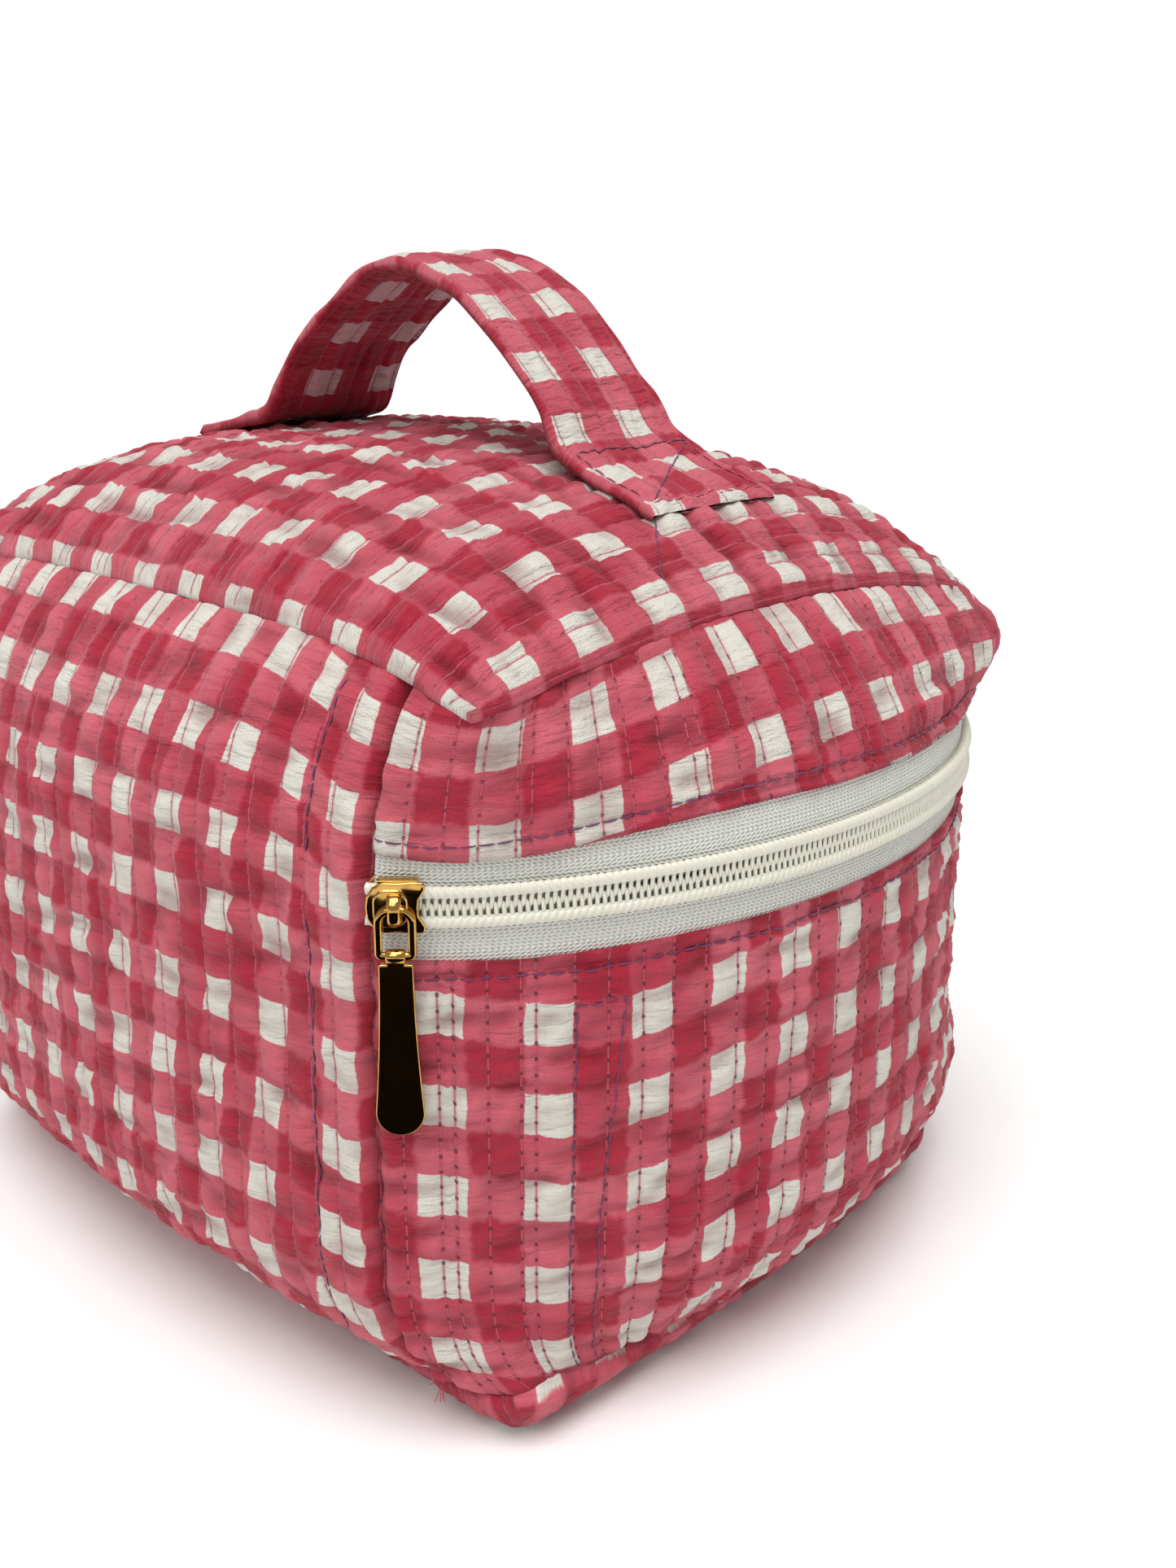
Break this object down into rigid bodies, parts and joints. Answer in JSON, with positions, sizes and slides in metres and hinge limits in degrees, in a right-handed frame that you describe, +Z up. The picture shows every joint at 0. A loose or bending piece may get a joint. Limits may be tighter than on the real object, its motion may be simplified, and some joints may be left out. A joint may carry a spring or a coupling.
{
  "type": "quilted makeup bag",
  "caption": "Boxy quilted fabric makeup bag with a domed zip-round lid hinged on its back panel, a padded strap handle on top and a metal zip slider with a long pull tab.",
  "frame": {"origin": "centre of the bottom of the bag, on the surface it stands on", "axes": "+X along the length, +Y towards the full-height back panel that hinges the lid, +Z up"},
  "size_m": [0.2122, 0.1756, 0.189],
  "materials": {
    "quilted_cotton": "matte block-printed cotton, white squares on crimson and pink bands, running-stitch quilting",
    "lining": "matte plain cotton",
    "wadding": "matte fibre wadding",
    "zip_tape": "matte woven polyester",
    "zip_coil": "satin nylon coil",
    "thread": "satin sewing thread",
    "binding": "matte bias strip",
    "gold_metal": "polished gold plate"
  },
  "bodies": {
    "bag_body": {"bottom_panel": "quilted_cotton", "bottom_wadding": "wadding", "bottom_lining": "lining", "body_wall": "quilted_cotton", "body_wadding": "wadding", "body_lining": "lining", "back_panel_lower": "quilted_cotton", "back_wadding_lower": "wadding", "back_lining_lower": "lining", "zip_tape_lower": "zip_tape", "zip_coil_lower": "zip_coil", "zip_topstitch_lower": "thread", "back_topstitch_left": "thread", "back_topstitch_right": "thread", "bottom_seam_binding": "binding", "back_binding_left": "binding", "back_binding_right": "binding", "inner_wall_tape": "binding", "wall_tape_stitching": "thread"},
    "lid": {"top_panel": "quilted_cotton", "top_wadding": "wadding", "top_lining": "lining", "lid_wall": "quilted_cotton", "lid_wadding": "wadding", "lid_lining": "lining", "back_panel_upper": "quilted_cotton", "back_wadding_upper": "wadding", "back_lining_upper": "lining", "zip_tape_upper": "zip_tape", "zip_coil_upper": "zip_coil", "zip_topstitch_upper": "thread", "lid_topstitch_left": "thread", "lid_topstitch_right": "thread", "top_seam_binding": "binding", "lid_binding_left": "binding", "lid_binding_right": "binding", "handle_foot_left": "quilted_cotton", "handle_foot_right": "quilted_cotton", "foot_stitching_left": "thread", "foot_stitching_right": "thread"},
    "handle": {"handle_cover": "quilted_cotton", "handle_wadding": "wadding"},
    "slider": {"zip_slider": "gold_metal", "slider_bail": "gold_metal"},
    "link": {"puller_link": "gold_metal"},
    "tab": {"puller_tab": "gold_metal"}
  },
  "joints": [
    {"name": "lid_hinge", "type": "hinge", "parent": "bag_body", "child": "lid", "pos_m": [0, 0.0878, 0.098], "axis": [-1, 0, 0], "range_deg": [0, 110]},
    {"name": "handle_tilt", "type": "hinge", "parent": "lid", "child": "handle", "pos_m": [-0.005, 0, 0.1635], "axis": [1, 0, 0], "range_deg": [-26, 26], "stiffness_Nm_per_rad": 0.02},
    {"name": "slider_travel", "type": "hinge", "parent": "bag_body", "child": "slider", "pos_m": [0, 0, 0.098], "axis": [0, 0, 1], "range_deg": [0, 88]},
    {"name": "puller_swing", "type": "hinge", "parent": "slider", "child": "link", "pos_m": [-0.07534, 0.07801, 0.098], "axis": [-0.6947, 0.7193, 0], "range_deg": [-15, 15]},
    {"name": "puller_lift", "type": "hinge", "parent": "link", "child": "tab", "pos_m": [-0.07534, 0.07801, 0.0908], "axis": [0.7193, 0.6947, 0], "range_deg": [0, 90]}
  ]
}
